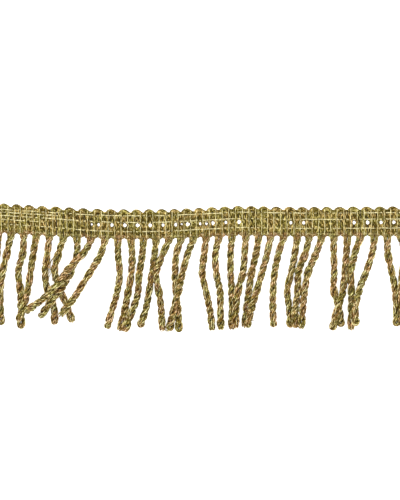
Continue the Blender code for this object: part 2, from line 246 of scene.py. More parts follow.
# Yarns that have come loose and lie between two cords or off an end, two on each line of
# points (x, y, z), in millimetres
LOOSE_SPREAD = (0.15, 0.15, 0.1)  # of the two
LOOSE_STEP = 0.4 * MM
LOOSE_YARNS = (
    ((-55.8, -13.0, 2.2), (-54.9, -14.5, 1.9), (-55.1, -16.1, 1.9), (-54.4, -17.9, 1.8),
     (-55.6, -20.9, 2.0)),
    ((-52.7, -12.2, 2.2), (-54.4, -14.3, 1.9), (-54.7, -15.7, 1.8), (-53.8, -18.3, 1.9),
     (-53.4, -21.2, 2.1)),
    ((-56.2, -15.2, 2.1), (-54.6, -17.2, 2.0), (-53.2, -19.2, 2.1)),
    ((18.6, -17.0, 2.2), (17.2, -19.1, 2.0), (15.9, -20.2, 1.9), (14.6, -21.6, 2.1)),
    ((17.9, -18.2, 2.1), (16.4, -19.4, 1.8), (15.0, -20.3, 2.0), (13.9, -22.0, 2.2)),
    ((18.0, -35.4, 1.4), (18.9, -35.9, 1.1), (19.4, -36.0, 0.8)),
    ((-14.3, -34.8, 2.0), (-13.2, -37.0, 1.9), (-12.8, -39.0, 1.4), (-11.8, -39.6, 1.2)),
    ((-11.6, -35.8, 2.0), (-12.6, -38.1, 1.6), (-13.2, -39.3, 1.3), (-14.2, -39.5, 1.4)),
    ((-14.6, -37.8, 1.9), (-13.1, -38.4, 1.6), (-11.4, -38.0, 1.9)),
)

# Metallic yarn, in millimetres along it and turns round it: what adds how much to its lightness. The
# speckles are painted glints and painted shade of the metal foil, and the wraps and strands add a painted
# sheen.
WRAP_PITCH = 0.42  # of the metal foil wound round a yarn
STRAND_PITCH = 2.4  # of its three strands
STRANDS = 3.0
SPECKLE_WEIGHT = 4.6
TONE_WEIGHT = 0.5
WRAP_WEIGHT = 0.16
STRAND_WEIGHT = 0.8
DARKER = 2.4  # what is taken off the sum
TONE_SHIFT = 90.0  # how far a yarn's tone shifts its speckles, so that no two are the same
WRAP_RELIEF = 0.35  # height of the wraps against the strands'
ROUGHNESS = (0.2, 0.35)  # the least, and how much a speckle adds
PATCH_SCALE = 330.0  # of the warm and cool patches, a metre
PATCH_COOL = 0.38
PATCH_CONTRAST = 4.0
CALMER = 0.25  # how far the heading's warm and cool tints come nearer to each other
CLOTH_TURN = 0.9  # how much of a yarn's turn shows across one stitch of the ground cloth
CLOTH_STRETCH = 0.6  # length of its pattern against a yarn's

HALF_STITCH = PITCH / 8  # half the width of a stitch of the ground cloth
CLOTH_SHADE = 0.4  # the cloth's shadow against the yarns'
# The lustre group's colours, and the (metallic, glints, height of the relief) of each finish
TINTS = ("Shadow", "Middle", "Pale", "Warm", "Cool")
FINISHES = {
    "gold_cord": (0.85, 1.2, 0.05 * MM),
    "gold_heading": (0.9, 1.25, 0.05 * MM),
    "pale_thread": (0.4, 1.0, 0.02 * MM),
    "ground_cloth": (0.3, 0.5, 0.03 * MM),
}

# The stage, in metres and watts
FLOOR_RADIUS = 0.9
FLOOR_GLOW = 0.6
SOFTBOXES = (  # name, place, side, power
    ("softbox_above", (0.02, 0.02, 0.75), 0.35, 2.2),
    ("softbox_left", (-0.55, 0.25, 0.45), 0.25, 1.8),
)
VIEW_HEIGHT = 183.0 * MM  # of the picture, on the surface
VIEW_CENTRE = -10.25 * MM  # y of its middle
LENS = 100.0
SENSOR = 36.0


def length_property(name, description, default):
    return FloatProperty(
        name=name, description=description, default=default,
        precision=5, unit="LENGTH", subtype="DISTANCE",
    )


class TrimSizes(bpy.types.PropertyGroup):
    """Thicknesses and turns of the trim's yarns"""

    yarn: length_property("Yarn", "Thickness of one yarn", 0.56 * MM)
    crest_thread: length_property("Crest thread", "Thickness of the pale thread on each leg", 0.2 * MM)
    stitch_thread: length_property("Stitch thread", "Thickness of the rows of stitches", 0.21 * MM)
    loose_yarn: length_property("Loose yarn", "Thickness of a loose yarn at a cord", 0.24 * MM)
    twist: length_property("Cord twist", "Length in which a cord turns once", 7.1 * MM)
    ground: length_property("Ground cloth", "Thickness of the cloth behind the legs", 0.22 * MM)
    seed: IntProperty(name="Seed", description="Start of the chance offsets", default=7)


def colour_property(name, description, default):
    return FloatVectorProperty(
        name=name, description=description, default=default, size=3, min=0.0, max=1.0, subtype="COLOR"
    )


class TrimColours(bpy.types.PropertyGroup):
    """Colours of the trim's yarns and of the stage"""

    # The yarns' dark and pale colours are partly painted shade and painted glints of the metal foil. The
    # heading's colours are the cords' same yarn made darker: painted shade, so that the flat heading,
    # which catches more light than the round cords, does not come out lighter than they do.
    shadow: colour_property("Yarn, dark", "Olive brown of the metallic yarn", (0.044, 0.032, 0.005))
    middle: colour_property("Yarn, middle", "Gold of the metallic yarn", (0.178, 0.132, 0.016))
    cord_shadow: colour_property("Cord, dark", "Brown of the cords' yarn", (0.130, 0.084, 0.010))
    cord_middle: colour_property("Cord, middle", "Gold of the cords' yarn", (0.355, 0.250, 0.084))
    cord_pale: colour_property("Cord, pale", "Pale gold of the cords' glints", (0.90, 0.79, 0.535))
    pale: colour_property("Yarn, pale", "Pale gold of the yarn's glints", (0.88, 0.73, 0.345))
    warm: colour_property("Warm tint", "Reddish brown patches of the yarn", (1.0, 0.82, 0.74))
    cool: colour_property("Cool tint", "Greenish patches of the yarn", (0.85, 0.95, 0.66))
    thread: colour_property("Thread", "Pale gold of the fine threads", (1.0, 0.91, 0.50))
    floor: colour_property("Floor", "Colour of the surface", (0.95, 0.95, 0.95))


def smooth_curve(points, position):
    """Height of a smooth curve through (position, height) points, and flat past its ends."""
    if position <= points[0][0]:
        return points[0][1]
    for k in range(len(points) - 1):
        (x0, y0), (x1, y1) = points[k], points[k + 1]
        if position > x1:
            continue
        before = points[max(k - 1, 0)]
        after = points[min(k + 2, len(points) - 1)]
        slope0 = (y1 - before[1]) / (x1 - before[0])
        slope1 = (after[1] - y0) / (after[0] - x0)
        t = (position - x0) / (x1 - x0)
        width = x1 - x0
        return (
            (2 * t**3 - 3 * t**2 + 1) * y0
            + (t**3 - 2 * t**2 + t) * width * slope0
            + (3 * t**2 - 2 * t**3) * y1
            + (t**3 - t**2) * width * slope1
        )
    return points[-1][1]


def heading_centre(x):
    return smooth_curve(HEADING_WAVE, x / MM) * MM


def scallop_top(x):
    return heading_centre(x) + HEADING_DEPTH / 2


ROOTS = [FIRST_ROOT + k * PITCH + cord[0] * MM for k, cord in enumerate(CORDS)]


def along(step):
    """X at a number of cords from the left end; cord k is at k + 0.5, the gaps at whole numbers."""
    k = min(max(math.floor(step - 0.5), 0), len(ROOTS) - 2)
    return ROOTS[k] + (step - 0.5 - k) * (ROOTS[k + 1] - ROOTS[k])


def smooth(t):
    """0 to 1, eased at both ends."""
    t = min(max(t, 0.0), 1.0)
    return t * t * (3 - 2 * t)


def cord_radius(distance, length):
    """Radius along a cord, as in the part's source."""
    to_end = length - distance
    if distance < ROOT_TAPER:
        return ROOT_RADIUS + (CORD_RADIUS - ROOT_RADIUS) * smooth(distance / ROOT_TAPER)
    radius = CORD_RADIUS
    if to_end < END_LENGTH:
        radius *= 1 + (END_SWELL - 1) * smooth((END_LENGTH - to_end) / (END_LENGTH / 2))
    if to_end < END_ROUND:
        radius *= math.sqrt(1 - END_POINT * (1 - to_end / END_ROUND) ** 2)
    return radius


def resample(points, step):
    """The same line with points about one step apart."""
    total = sum((b - a).length for a, b in zip(points, points[1:]))
    count = max(2, round(total / step))
    spaced = [points[0].copy()]
    travelled = 0.0
    target = total / count
    for a, b in zip(points, points[1:]):
        run = (b - a).length
        while travelled + run >= target * len(spaced) - 1e-12 and len(spaced) <= count:
            spaced.append(a.lerp(b, (target * len(spaced) - travelled) / run))
        travelled += run
    return spaced[: count + 1]


def eased_line(knots):
    """A smooth line through points, a Bezier curve from each to the next."""
    fine = []
    for a in range(len(knots) - 1):
        before = knots[max(a - 1, 0)]
        after = knots[min(a + 2, len(knots) - 1)]
        start, end = knots[a], knots[a + 1]
        run = (end - start).length
        leave = ((start - before).normalized() + (end - start).normalized()).normalized()
        arrive = ((end - start).normalized() + (after - end).normalized()).normalized()
        handles = (start + leave * run / 3, end - arrive * run / 3)
        fine += geometry.interpolate_bezier(start, *handles, end, BEZIER_POINTS)[:-1]
    fine.append(knots[-1])
    return fine


def flat_route(k):
    """Points of cord k seen from above, evenly spaced from inside the strip to its end."""
    offsets, drop = CORDS[k][1:]
    root = Vector((ROOTS[k], heading_centre(ROOTS[k]) - HEADING_DEPTH / 2, 0.0))
    knots = [root + Vector((0.0, ROOT_INSET, 0.0)), root]
    for fifth, offset in enumerate(offsets, start=1):
        knots.append(root + Vector((offset, -drop * fifth / len(offsets), 0.0)) * MM)
    return resample(eased_line(knots), ROUTE_STEP)


def widest(distance, length):
    return min(cord_radius(distance, length), CORD_RADIUS * END_SWELL)


def needed_height(point, distance, length, laid):
    """Lowest place for a cord's centre: on the surface, or clear of the cords under it."""
    half_width = widest(distance, length)
    if distance < ROOT_TAPER:
        return ROOT_HEIGHT + (CORD_RADIUS + REST_GAP - ROOT_HEIGHT) * distance / ROOT_TAPER
    height = half_width + REST_GAP
    for under, under_width in laid:
        clear = half_width + under_width + LAY_GAP
        aside = (point.x - under.x) ** 2 + (point.y - under.y) ** 2
        if aside < clear * clear:
            height = max(height, under.z + math.sqrt(clear * clear - aside))
    return height


def lay_cord(route, laid):
    """Heights along a cord's centre, eased so that it climbs on to another cord and off again."""
    length = ROUTE_STEP * (len(route) - 1)
    count = len(route)
    need = [needed_height(route[a], a * ROUTE_STEP, length, laid) for a in range(count)]
    reach = round(LAY_SMOOTH / ROUTE_STEP)
    climb = LAY_SLOPE * ROUTE_STEP
    wide = [max(need[max(0, a - reach) : a + reach + 1]) for a in range(count)]
    for a in range(1, count):
        wide[a] = max(wide[a], wide[a - 1] - climb)
    for a in range(count - 2, -1, -1):
        wide[a] = max(wide[a], wide[a + 1] - climb)
    heights = []
    for a in range(count):
        near = wide[max(0, a - reach) : a + reach + 1]
        heights.append(sum(near) / len(near))
    root_run = round(ROOT_TAPER / ROUTE_STEP)
    for a in range(root_run):
        heights[a] = need[a] + (heights[a] - need[a]) * (a / root_run) ** 2
    return heights


def cord_routes():
    """Every cord's centre line, laid from left to right."""
    routes = []
    laid = []
    for k in range(len(CORDS)):
        route = flat_route(k)
        length = ROUTE_STEP * (len(route) - 1)
        heights = lay_cord(route, [pair for cord in laid[-NEIGHBOURS:] for pair in cord])
        for point, height in zip(route, heights):
            point.z = height
        routes.append(route)
        laid.append([(point, widest(a * ROUTE_STEP, length)) for a, point in enumerate(route)])
    return routes


def route_point(route, distance):
    """Place and direction at a distance along a route, and straight on before its start."""
    if distance < 0:
        return route[0] + Vector((0.0, -distance, 0.0)), Vector((0.0, -1.0, 0.0))
    place = min(distance / ROUTE_STEP, len(route) - 1)
    a = min(int(place), len(route) - 2)
    ahead = route[min(a + 3, len(route) - 1)]
    behind = route[max(a - 2, 0)]
    return route[a].lerp(route[a + 1], place - a), (ahead - behind).normalized()


def twist_angle(distance, pitch):
    """How far a cord has turned at a distance from its start."""
    run = distance - TWIST_START
    if run <= 0:
        return 0.0
    if run < TWIST_EASE:
        return math.pi * run * run / TWIST_EASE / pitch
    return 2 * math.pi * (run - TWIST_EASE / 2) / pitch


def taken_over(depth):
    """How far the cords' yarns have come up from under the legs' at a depth in the heading."""
    return smooth((depth - SINK_START) / (SINK_END - SINK_START))


def leg_closed(distance):
    """How far two legs have closed to a cord: fast under the heading's edge, then slowly."""
    run = max(0.0, distance - SPREAD_START)
    arc = math.sqrt(1 - (1 - min(run / QUICK_CLOSE, 1.0)) ** 2)
    return QUICK_SHARE * arc + (1 - QUICK_SHARE) * smooth(run / SLOW_CLOSE)


def around_holes(x, y):
    """X of a heading yarn's point, moved aside where the yarns part round a hole."""
    for holes, half in ((GAP_HOLES, 0.0), (CORD_HOLES, 0.5)):
        for number, size in holes.items():
            centre = along(number + half) + HOLE_SHIFT
            aside = x - centre
            if abs(aside) > PITCH / 2:
                continue
            depth = scallop_top(centre) - y
            near = math.exp(-(((depth - HOLE_DEPTH) / HOLE_REACH) ** 4))
            part = (size * MM * PARTED + PARTED_MORE) * near
            x = centre + math.copysign(math.hypot(aside, part), aside)
    return x


def select_only(piece):
    bpy.ops.object.select_all(action="DESELECT")
    piece.select_set(True)
    bpy.context.view_layer.objects.active = piece


def tube_piece(name, paths, thickness, material, tones):
    """Yarns as tubes along paths, in one mesh. Its UV map holds millimetres along, and turns
    round, each yarn, and its tone attribute a value for each yarn, or for each of its points."""
    data = bpy.data.curves.new(name, "CURVE")
    data.dimensions = "3D"
    data.twist_mode = "MINIMUM"
    data.bevel_depth = thickness / 2
    data.bevel_resolution = (TUBE_SIDES - 4) // 2
    for path in paths:
        spline = data.splines.new("POLY")
        spline.points.add(len(path) - 1)
        spline.points.foreach_set("co", [value for point in path for value in (*point, 1.0)])
    piece = bpy.data.objects.new(name, data)
    bpy.context.scene.collection.objects.link(piece)
    select_only(piece)
    bpy.ops.object.convert(target="MESH")
    mesh = piece.data
    distances = []
    tone = []
    for path, value in zip(paths, tones):
        travelled = [0.0]
        for a, b in zip(path, path[1:]):
            travelled.append(travelled[-1] + (b - a).length / MM)
        distances += travelled
        tone += value if isinstance(value, list) else [value] * len(path)
    rings = np.repeat(np.array(distances), TUBE_SIDES)
    corner = np.tile(np.arange(TUBE_SIDES), len(distances))
    count = len(mesh.loops)
    vertex = np.empty(count, dtype=np.int64)
    mesh.loops.foreach_get("vertex_index", vertex)
    turn = corner[vertex].reshape(-1, 4)
    seam = (turn == 0) & (turn == TUBE_SIDES - 1).any(axis=1, keepdims=True)
    turn = np.where(seam, TUBE_SIDES, turn).reshape(-1)
    uv = mesh.uv_layers.active or mesh.uv_layers.new()
    uv.name = "yarn"
    uv.data.foreach_set("uv", np.column_stack((rings[vertex], turn / TUBE_SIDES)).ravel())
    attribute = mesh.attributes.new("tone", "FLOAT", "POINT")
    attribute.data.foreach_set("value", np.repeat(np.array(tone), TUBE_SIDES))
    bpy.ops.object.mode_set(mode="EDIT")
    bpy.ops.mesh.select_all(action="SELECT")
    bpy.ops.mesh.fill_holes(sides=TUBE_SIDES)
    bpy.ops.mesh.select_all(action="SELECT")
    bpy.ops.mesh.normals_make_consistent(inside=False)
    bpy.ops.object.mode_set(mode="OBJECT")
    bpy.ops.object.shade_smooth()
    mesh.materials.clear()
    mesh.materials.append(material)
    return piece


def wander(rng, size):
    """A slow sideways drift of a yarn, different each time it is made."""
    # For each axis: how far, the length of a wave in millimetres, and where it starts
    waves = [(rng.uniform(0.5, 1.0) * size, rng.uniform(3.0, 7.0), rng.uniform(0, 6.3)) for _ in range(3)]

    def drift(distance):
        return Vector(
            far * math.sin(2 * math.pi * distance / MM / length + start) for far, length, start in waves
        )

    return drift


def cord_stations(k, route):
    """Places along a cord, from inside the heading to the turn at its end: (distance, centre,
    forward, direction to the first ply, direction across it, ply's offset, how far closed)."""
    sizes = bpy.context.scene.trim_sizes
    length = ROUTE_STEP * (len(route) - 1)
    own = random.Random(sizes.seed * 100 + k)
    pitch = sizes.twist * own.uniform(*TWIST_SPREAD)
    phase = own.uniform(0.0, 6.3)
    end = length - (END_PLY_OFFSET * (1 + PLY_DEPTH / PLY_OFFSET) + sizes.yarn / 2)
    fine = round((LEG_OVERLAP + ROOT_END) / (YARN_STEP / 2))
    coarse = round((end - ROOT_END) / YARN_STEP)
    distances = [-LEG_OVERLAP + (LEG_OVERLAP + ROOT_END) * a / fine for a in range(fine)]
    distances += [ROOT_END + (end - ROOT_END) * a / coarse for a in range(coarse + 1)]
    stations = []
    for distance in distances:
        centre, forward = route_point(route, distance)
        level = forward.cross(Vector((0.0, 0.0, 1.0))).normalized()
        angle = twist_angle(distance, pitch)
        angle += TWIST_UNEVEN * smooth(distance / END_LENGTH) * math.sin(distance / TWIST_SWAY + phase)
        out = Matrix.Rotation(angle, 3, forward) @ level
        across = forward.cross(out)
        swell = smooth((distance - (end - END_LENGTH)) / END_LENGTH)
        offset = PLY_OFFSET + (END_PLY_OFFSET - PLY_OFFSET) * swell
        stations.append((distance, centre, forward, out, across, offset, leg_closed(distance)))
    return stations


def cord_yarns(k, route, rng):
    """The yarns of one doubled cord: down one ply, round the end and up the other."""
    stations = cord_stations(k, route)
    end = stations[-1][0]
    turned_length = 2 * (end - ROOT_END)
    shifted = round(YARNS * turned_length / YARN_TURN)
    turn = -2 * math.pi * shifted / YARNS / turned_length
    legs = (along(k + 0.25) - ROOTS[k], along(k + 0.75) - ROOTS[k])
    paths = []
    for yarn in range(YARNS + 1):
        in_middle = yarn == YARNS
        size = 0.0 if in_middle else 1.0
        start = 2 * math.pi * (1 - yarn) / YARNS
        drifts = (wander(rng, CORD_DRIFT), wander(rng, CORD_DRIFT))
        plies = []
        for side, facing in enumerate((1, -1)):
            place = yarn if side == 0 else (yarn + shifted) % YARNS
            arch_out, arch_height = MIDDLE_YARN if in_middle else LEG_ARCH[place]
            ply = []
            for distance, centre, forward, out, across, offset, closed in stations:
                turned = max(0.0, distance - ROOT_END)
                round_ply = start + turn * (turned if side == 0 else turned_length - turned)
                grown = size * offset / PLY_OFFSET
                point = centre + out * facing * (offset + grown * PLY_DEPTH * math.cos(round_ply))
                point += across * grown * PLY_BREADTH * math.sin(round_ply)
                under = LEG_SINK * (1 - taken_over(HEADING_DEPTH - ROOT_INSET + distance))
                x = ROOTS[k] + legs[side] - facing * arch_out * MM
                leg = Vector((x, centre.y, arch_height * MM - under))
                ply.append(leg.lerp(point, closed) + drifts[side](distance) * closed)
            plies.append(ply)
        distance, centre, forward, out, across, offset, closed = stations[-1]
        round_ply = start + turn * turned_length / 2
        loop = []
        for a in range(1, END_STEPS + 1):
            angle = math.pi * a / (END_STEPS + 1)
            outwards = out * math.cos(angle) + forward * math.sin(angle)
            point = centre + outwards * (offset + grown * PLY_DEPTH * math.cos(round_ply))
            share = a / (END_STEPS + 1)
            drift = drifts[0](distance) * (1 - share) + drifts[1](distance) * share
            loop.append(point + across * grown * PLY_BREADTH * math.sin(round_ply) + drift)
        paths.append(plies[0] + loop + plies[1][::-1])
    return paths


def root_shade(point):
    """How much painted shade darkens a cord's yarn at a point near its root."""
    depth = scallop_top(point.x) - point.y
    return ROOT_SHADE * (1 - smooth((depth - SINK_START) / ROOT_FADE))


def gap_loops(gap, rng):
    """The yarns that rise in one leg, bend over a gap of the heading and go down the next."""
    top_ring = LOOP_START + LOOP_RISE - bpy.context.scene.trim_sizes.yarn / 2
    centre = along(gap)
    widths = (centre - along(gap - 0.25), along(gap + 0.25) - centre)
    reach = widths[0] - LEG_ARCH[-1][0] * MM
    straight = [LEG_END - (LEG_END - LOOP_START) * a / LEG_STEPS for a in range(LEG_STEPS + 1)]
    paths = []
    for out, height in LEG_ARCH:
        aside = [width - out * MM for width in widths]
        rise = top_ring * (aside[0] + aside[1]) / (2 * reach)
        drift = wander(rng, LEG_DRIFT)
        profile = [(-aside[0], depth) for depth in straight]
        for a in range(1, LOOP_STEPS):
            angle = math.pi * a / LOOP_STEPS
            width = aside[0] if angle < math.pi / 2 else aside[1]
            bent = math.sin(angle) ** LOOP_POINT
            profile.append((LOOP_LEAN * bent - width * math.cos(angle), LOOP_START - rise * bent))
        profile += [(aside[1], depth) for depth in straight[::-1]]
        if gap == 0:
            profile = profile[len(profile) // 2 :]
        if gap == len(CORDS):
            profile = profile[: len(profile) // 2]
        path = []
        for a, (offset, depth) in enumerate(profile):
            x = centre + offset
            y = scallop_top(x) - depth
            point = Vector((around_holes(x, y), y, height * MM - LEG_SINK * taken_over(depth)))
            near_end = smooth((LEG_END - depth) / DRIFT_EASE)
            path.append(point + drift(a * DRIFT_STEP) * near_end)
        paths.append(path)
    return paths


def steps_across(number):
    """Steps over the whole heading, a number of them to each cord, just inside its ends."""
    count = len(CORDS) * number
    return [END_MARGIN + (len(CORDS) - 2 * END_MARGIN) * a / count for a in range(count + 1)]


def edge_yarns(rng):
    """Yarns along the heading's upper edge, under its loops: the dips between the scallops."""
    paths = []
    for further, height, swing in EDGE_YARNS:
        depth = EDGE_DEPTH + further * MM
        drift = wander(rng, EDGE_DRIFT)
        path = []
        for step in steps_across(EDGE_STEPS):
            x = along(step)
            wave = swing * MM * math.cos(2 * math.pi * step)
            path.append(Vector((x, scallop_top(x) - depth + wave, height * MM)) + drift(x))
        paths.append(path)
    return paths


def crest_thread(k, side, route, rng):
    """The fine pale thread along a leg's crest, from the scallop down, and then round its ply."""
    sizes = bpy.context.scene.trim_sizes
    x = along(k + 0.5 + 0.25 * side)
    height = LEG_ARCH[YARNS // 2][1] * MM + sizes.yarn / 2
    proud = sizes.yarn / 2 + CREST_PROUD * sizes.crest_thread
    drift = wander(rng, LEG_DRIFT)
    path = []
    for a in range(CREST_STEPS + 1):
        depth = CREST_START + CREST_RUN * a / CREST_STEPS
        y = scallop_top(x) - depth
        path.append(Vector((around_holes(x, y), y, height)) + drift(depth))
    for distance, centre, forward, out, across, offset, closed in cord_stations(k, route):
        if distance < ROOT_INSET:
            continue
        place = 2 * math.pi * max(0.0, distance - ROOT_END) / YARN_TURN * side
        point = centre - out * side * (offset + (PLY_DEPTH + proud) * math.cos(place))
        point += across * (PLY_BREADTH + proud) * math.sin(place)
        leg = Vector((x, centre.y, height))
        path.append(leg.lerp(point, closed) + drift(HEADING_DEPTH + distance) * (1 - closed))
    return path


def stitch_row(row, strand):
    """One of the two strands of a row of stitches, from end to end of the heading."""
    height = (LEG_ARCH[YARNS // 2][1] + ROW_OVER_LEG) * MM
    rng = random.Random(row)
    stray = wander(rng, ROW_STRAY)
    raised = [1.0 if rng.random() < HIGH_STITCHES else LOW_STITCH for _ in range(2 * len(CORDS))]
    path = []
    last = max(stop for _, stop in SHOWN_STITCHES[row]) + ROW_TAIL
    for step in steps_across(ROW_STEPS):
        x = along(step)
        if x / MM > last:
            break
        shown = max(
            smooth((x / MM - start) / SHOWN_EASE + 0.5) * smooth((stop - x / MM) / SHOWN_EASE + 0.5)
            for start, stop in SHOWN_STITCHES[row]
        )
        shown *= raised[int(2 * step)]
        crest = math.sin(2 * math.pi * step) ** 2
        angle = math.pi * (4 * step + strand + ROW_PHASE * row)
        drift = smooth_curve(ROW_DRIFT, x / MM) * THREAD_ROWS[row] / DRIFT_DEPTH
        y = scallop_top(x) - THREAD_ROWS[row] + (drift + STRAND_SWING * math.sin(angle)) * MM
        z = height - ROW_DIP * (1 - crest) - ROW_SINK * (1 - shown)
        path.append(Vector((x, y + stray(x).y, z + STRAND_RISE * math.cos(angle))))
    return path


def input_value(node, name, value):
    node.inputs[name].default_value = value


def add_node(tree, kind, place, **settings):
    node = tree.nodes.new(kind)
    node.location = place
    for name, value in settings.items():
        setattr(node, name, value)
    return node


def maths(tree, operation, place, *values):
    """The output of a math node, from numbers and other nodes' outputs."""
    node = add_node(tree, "ShaderNodeMath", place, operation=operation)
    for socket, value in zip(node.inputs, values):
        if isinstance(value, float):
            socket.default_value = value
        else:
            tree.links.new(value, socket)
    return node.outputs[0]


def noise(tree, place, coordinates, **settings):
    node = add_node(tree, "ShaderNodeTexNoise", place)
    for name, value in settings.items():
        input_value(node, name, value)
    tree.links.new(coordinates, node.inputs["Vector"])
    return node.outputs["Fac"]


def mix(tree, place, factor, first, second):
    """A colour between two."""
    node = add_node(tree, "ShaderNodeMix", place, data_type="RGBA")
    for name, value in (("Factor", factor), ("A", first), ("B", second)):
        tree.links.new(value, node.inputs[name])
    return node.outputs["Result"]


def new_group(name, inputs, outputs):
    """A node group with the named sockets of the given kinds, and its two ends' sockets."""
    group = bpy.data.node_groups.new(name, "ShaderNodeTree")
    for in_out, sockets in (("INPUT", inputs), ("OUTPUT", outputs)):
        for socket, kind in sockets.items():
            group.interface.new_socket(socket, in_out=in_out, socket_type=f"NodeSocket{kind}")
    start = add_node(group, "NodeGroupInput", (-1500, 0)).outputs
    end = add_node(group, "NodeGroupOutput", (900, 0)).inputs
    return group, start, end


def helix(group, start, pitch, strands, place):
    """0 to 1 across each of the strands that wind round a yarn."""
    x, y = place
    along_yarn = maths(group, "DIVIDE", place, start["Length"], pitch)
    turns = maths(group, "MULTIPLY", (x, y - 160), start["Turn"], strands)
    both = maths(group, "ADD", (x + 180, y), along_yarn, turns)
    angle = maths(group, "MULTIPLY", (x + 360, y), both, 2 * math.pi)
    wave = maths(group, "SINE", (x + 540, y), angle)
    return maths(group, "MULTIPLY_ADD", (x + 720, y), wave, 0.5, 0.5)


def lustre_group():
    """Node group: colour, roughness and relief of metallic yarn, from its length and turn. Its colour
    holds painted glints, painted shade and painted sheen.
    """
    inputs = dict.fromkeys(("Length", "Turn", "Tone", "Glints"), "Float")
    inputs.update(dict.fromkeys(TINTS, "Color"))
    outputs = {"Color": "Color", "Roughness": "Float", "Relief": "Float"}
    group, start, end = new_group("yarn_lustre", inputs, outputs)
    link = group.links.new
    wraps = helix(group, start, WRAP_PITCH, 1.0, (-1200, 500))
    strands = helix(group, start, STRAND_PITCH, STRANDS, (-1200, 200))
    on_yarn = add_node(group, "ShaderNodeCombineXYZ", (-1100, -200))
    for axis, name, often, y in (
        ("X", "Length", SPECKLE_LENGTH, -150),
        ("Y", "Turn", SPECKLE_TURN, -300),
        ("Z", "Tone", TONE_SHIFT, -450),
    ):
        link(maths(group, "MULTIPLY", (-1300, y), start[name], often), on_yarn.inputs[axis])
    speckle = noise(group, (-900, -200), on_yarn.outputs["Vector"], Scale=1.0, Detail=2.0, Roughness=0.6)
    place = add_node(group, "ShaderNodeTexCoord", (-1200, -600)).outputs["Object"]
    patches = noise(group, (-900, -600), place, Scale=PATCH_SCALE, Detail=1.0)
    # Lightness: speckles that are painted glints and painted shade of the metal, each yarn's own tone,
    # and a painted sheen along the foil's wraps and the strands
    value = maths(group, "MULTIPLY", (-650, -200), speckle, SPECKLE_WEIGHT)
    weights = ((start["Tone"], TONE_WEIGHT), (wraps, WRAP_WEIGHT), (strands, STRAND_WEIGHT))
    for column, (part, weight) in enumerate(weights):
        share = maths(group, "MULTIPLY", (180 * column - 650, -380), part, weight)
        value = maths(group, "ADD", (180 * column - 470, -200), value, share)
    value = maths(group, "SUBTRACT", (70, -200), value, DARKER)
    # Low lightness goes towards Shadow and high towards Pale: painted shade and painted glints, besides
    # the yarns' own darker and lighter tones
    to_middle = maths(group, "MULTIPLY", (220, 100), value, 2.0)
    low = mix(group, (380, 0), to_middle, start["Shadow"], start["Middle"])
    above = maths(group, "SUBTRACT", (220, -200), value, 0.5)
    to_pale = maths(group, "MULTIPLY", (380, -250), above, start["Glints"])
    high = mix(group, (540, 0), to_pale, low, start["Pale"])
    spread = maths(group, "SUBTRACT", (-650, -600), patches, PATCH_COOL)
    to_warm = maths(group, "MULTIPLY", (-470, -600), spread, PATCH_CONTRAST)
    tint = mix(group, (380, -500), to_warm, start["Cool"], start["Warm"])
    tinted = add_node(group, "ShaderNodeMix", (700, 0), data_type="RGBA", blend_type="MULTIPLY")
    input_value(tinted, "Factor", 1.0)
    link(high, tinted.inputs["A"])
    link(tint, tinted.inputs["B"])
    link(tinted.outputs["Result"], end["Color"])
    least, more = ROUGHNESS
    rough = maths(group, "MULTIPLY", (540, 300), speckle, more)
    link(maths(group, "ADD", (700, 300), rough, least), end["Roughness"])
    low_wraps = maths(group, "MULTIPLY", (540, 500), wraps, WRAP_RELIEF)
    link(maths(group, "ADD", (700, 500), low_wraps, strands), end["Relief"])
    return group


def knit_group():
    """Node group: length and turn along the stitches of a knitted cloth, from a place on it."""
    outputs = {"Length": "Float", "Turn": "Float"}
    group, start, end = new_group("knit_stitches", {"Place": "Vector"}, outputs)
    split = add_node(group, "ShaderNodeSeparateXYZ", (-400, 0))
    group.links.new(start["Place"], split.inputs["Vector"])
    wale = maths(group, "PINGPONG", (-200, 150), split.outputs["X"], HALF_STITCH)
    turn = maths(group, "MULTIPLY", (0, 150), wale, CLOTH_TURN / HALF_STITCH)
    length = maths(group, "MULTIPLY", (0, -150), split.outputs["Y"], CLOTH_STRETCH / MM)
    group.links.new(turn, end["Turn"])
    group.links.new(length, end["Length"])
    return group


def yarn_material(name, tints, metallic, glints, relief):
    """Metallic yarn: the lustre group on a shader of its own, along a yarn or a cloth's stitches."""
    material = bpy.data.materials.new(name)
    material.use_nodes = True
    tree = material.node_tree
    link = tree.links.new
    shader = tree.nodes["Principled BSDF"]
    input_value(shader, "Metallic", metallic)
    input_value(shader, "Specular IOR Level", 0.5)
    group = bpy.data.node_groups.get("yarn_lustre") or lustre_group()
    lustre = add_node(tree, "ShaderNodeGroup", (-450, 100), node_tree=group)
    bump = add_node(tree, "ShaderNodeBump", (-200, -200))
    input_value(bump, "Distance", relief)
    if name == "ground_cloth":
        coordinates = add_node(tree, "ShaderNodeTexCoord", (-900, 200))
        stitches = add_node(tree, "ShaderNodeGroup", (-700, 200), node_tree=knit_group())
        link(coordinates.outputs["Object"], stitches.inputs["Place"])
        link(stitches.outputs["Length"], lustre.inputs["Length"])
        link(stitches.outputs["Turn"], lustre.inputs["Turn"])
    else:
        coordinates = add_node(tree, "ShaderNodeUVMap", (-900, 200), uv_map="yarn")
        split = add_node(tree, "ShaderNodeSeparateXYZ", (-700, 200))
        tone = add_node(tree, "ShaderNodeAttribute", (-900, 0), attribute_name="tone")
        link(coordinates.outputs["UV"], split.inputs["Vector"])
        link(split.outputs["X"], lustre.inputs["Length"])
        link(split.outputs["Y"], lustre.inputs["Turn"])
        link(tone.outputs["Fac"], lustre.inputs["Tone"])
    for socket, tint in zip(TINTS, tints):
        input_value(lustre, socket, (*tint, 1.0))
    input_value(lustre, "Glints", glints)
    link(lustre.outputs["Color"], shader.inputs["Base Color"])
    link(lustre.outputs["Roughness"], shader.inputs["Roughness"])
    link(lustre.outputs["Relief"], bump.inputs["Height"])
    link(bump.outputs["Normal"], shader.inputs["Normal"])
    return material


